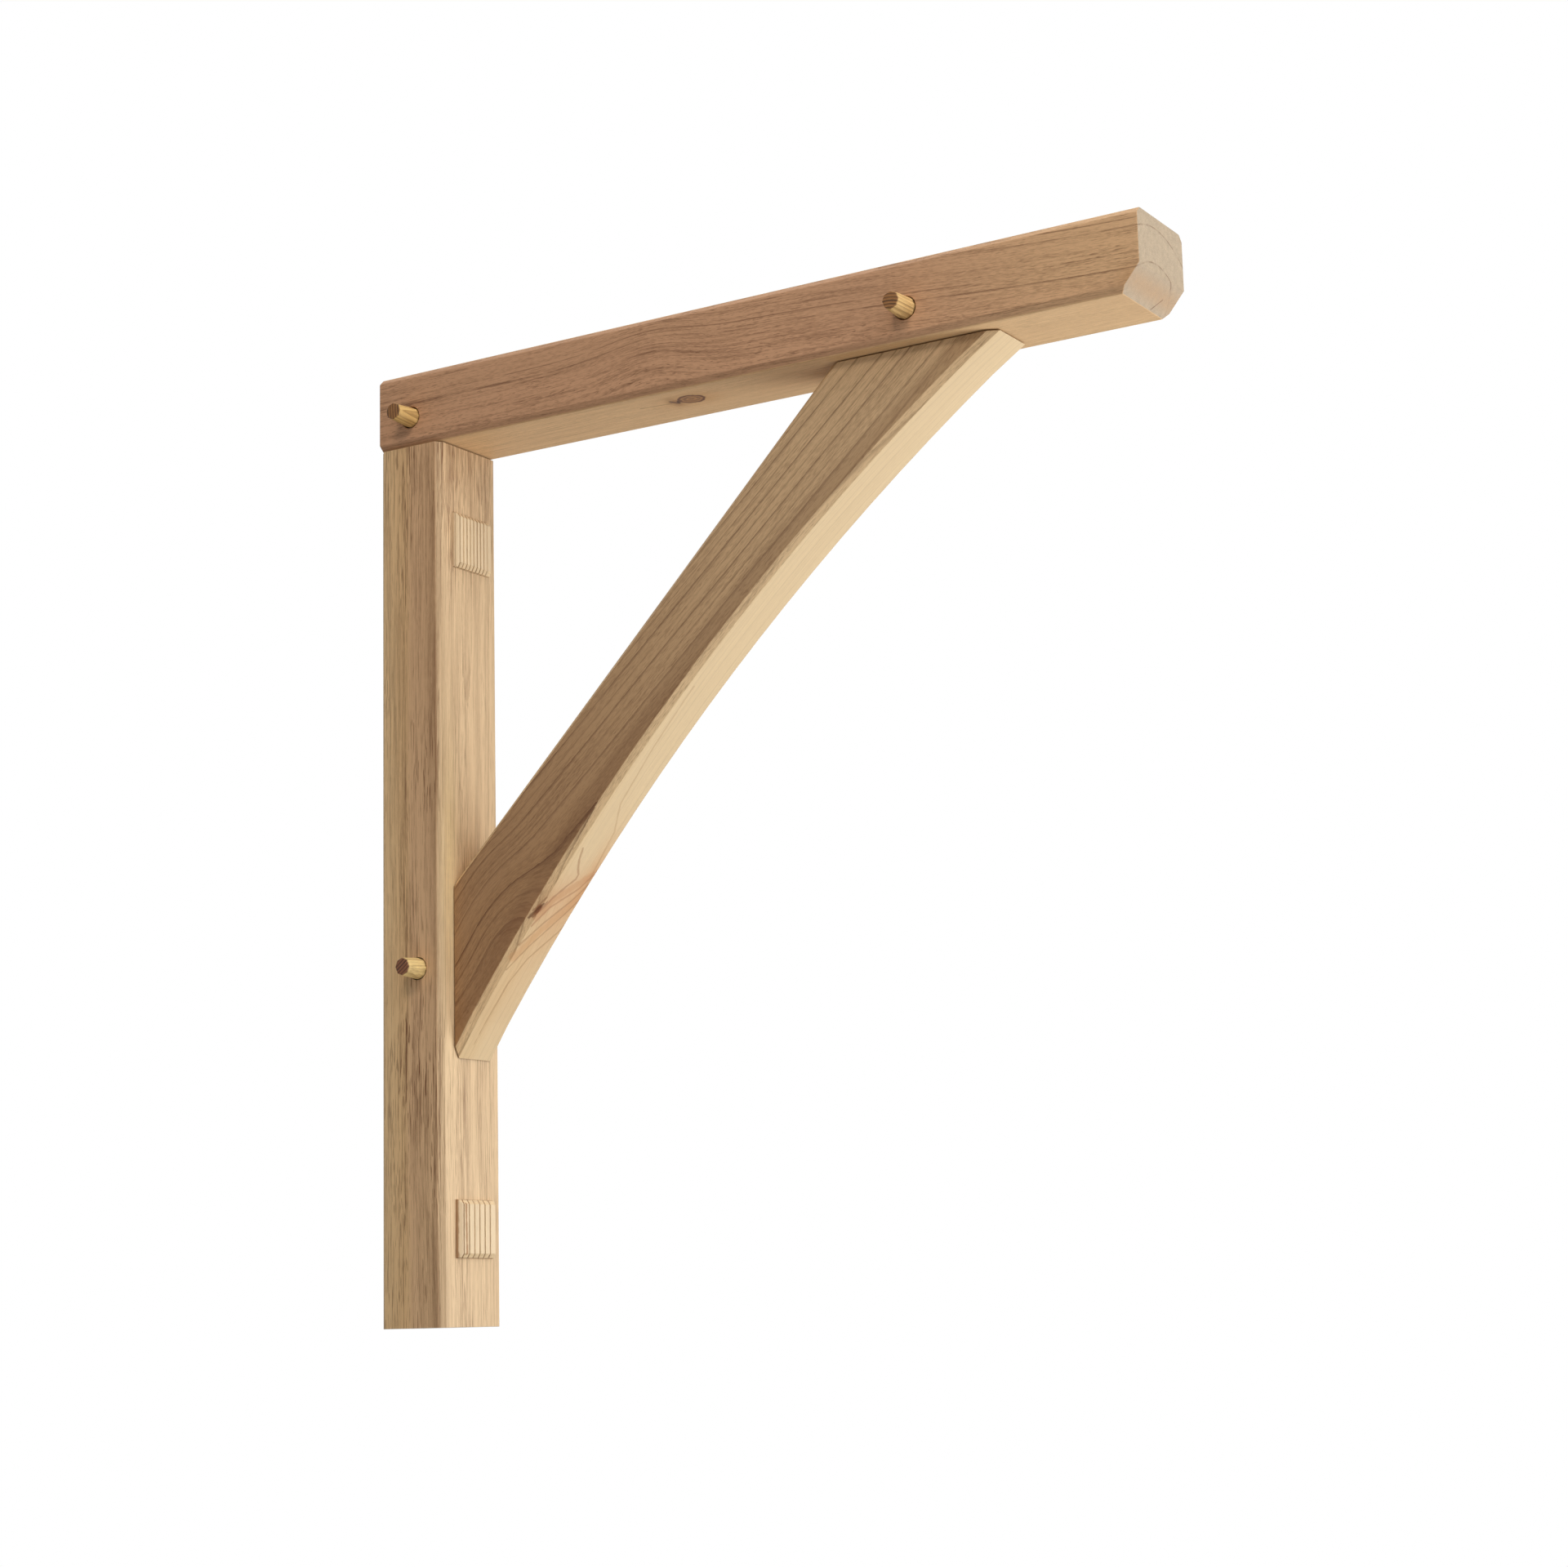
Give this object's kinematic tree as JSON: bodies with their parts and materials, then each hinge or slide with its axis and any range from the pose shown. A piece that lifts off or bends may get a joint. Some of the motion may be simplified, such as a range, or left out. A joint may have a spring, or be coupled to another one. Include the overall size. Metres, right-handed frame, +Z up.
{
  "type": "gallows shelf bracket",
  "caption": "Pegged softwood gallows bracket: chamfered wall post and beam joined by an arched diagonal brace, with bevelled plugs over the wall fixings.",
  "frame": {"origin": "on the wall plane, midway between the two wall fixing holes", "axes": "+X out from the wall along the beam, +Z up along the post, -Y towards the face side where the peg ends stand proud"},
  "size_m": [0.611, 0.089, 0.688],
  "materials": {
    "timber": "planed and oiled softwood",
    "peg_wood": "shaved, unfinished",
    "plug_wood": "planed, unfinished"
  },
  "bodies": {
    "root": {"post": "timber", "beam": "timber", "brace": "timber", "beam_post_peg": "peg_wood", "beam_brace_peg": "peg_wood", "post_brace_peg": "peg_wood", "upper_cover_plug": "plug_wood", "lower_cover_plug": "plug_wood"}
  },
  "joints": []
}
